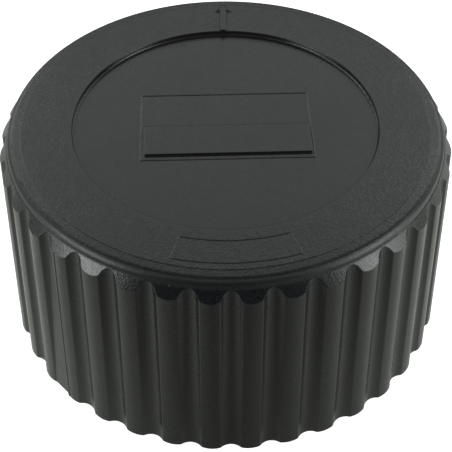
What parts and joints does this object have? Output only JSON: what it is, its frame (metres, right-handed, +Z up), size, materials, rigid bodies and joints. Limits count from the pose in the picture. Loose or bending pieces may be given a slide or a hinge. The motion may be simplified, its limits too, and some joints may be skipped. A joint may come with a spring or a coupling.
{
  "type": "hydraulic tank breather filter",
  "caption": "Fluted screw-on breather filter for a hydraulic tank, with a pleated element and sprung pressure and vacuum valves under its moulded cover.",
  "frame": {"origin": "centre of the cover's open rim, at the plane it stands on", "axes": "+Z up along the axis of the neck thread, towards the cover's top; -Y towards the picture's near side"},
  "size_m": [0.0899, 0.0899, 0.0441],
  "materials": {
    "cover_plastic": "glass-filled black nylon, satin, fine grain",
    "carrier_plastic": "glass-filled black nylon, matte",
    "valve_plastic": "natural acetal, smooth",
    "tube_plastic": "natural polypropylene",
    "cap_plastic": "dark potting resin",
    "rubber": "nitrile rubber, matte",
    "filter_paper": "resin-impregnated pleated paper",
    "sheet_steel": "zinc-plated sheet",
    "spring_steel": "drawn wire",
    "screw_steel": "zinc-plated"
  },
  "bodies": {
    "housing": {"cover": "cover_plastic", "carrier": "carrier_plastic", "carrier_screws": "screw_steel", "neck_gasket": "rubber", "splash_guard": "carrier_plastic", "plate_gasket": "rubber", "valve_plate": "valve_plastic", "spring_cage": "sheet_steel", "cage_screws": "screw_steel", "filter_paper": "filter_paper", "support_tube": "tube_plastic", "element_bottom_cap": "cap_plastic", "element_top_cap": "cap_plastic", "element_seal": "rubber", "clamp_ring": "rubber"},
    "pressure_poppet": {"pressure_valve": "valve_plastic", "pressure_seal": "rubber", "pressure_spring": "spring_steel", "vacuum_spring": "spring_steel"},
    "vacuum_poppet": {"vacuum_valve": "valve_plastic", "stem_clip": "sheet_steel"}
  },
  "joints": [
    {"name": "pressure_lift", "type": "slide", "parent": "housing", "child": "pressure_poppet", "axis": [0, 0, 1], "range_m": [0, 0.003], "stiffness_N_per_m": 1000, "springref_m": -0.008, "deforming": ["pressure_spring"]},
    {"name": "vacuum_drop", "type": "slide", "parent": "pressure_poppet", "child": "vacuum_poppet", "axis": [0, 0, -1], "range_m": [0, 0.002], "stiffness_N_per_m": 100, "springref_m": -0.0025, "deforming": ["vacuum_spring"]}
  ]
}
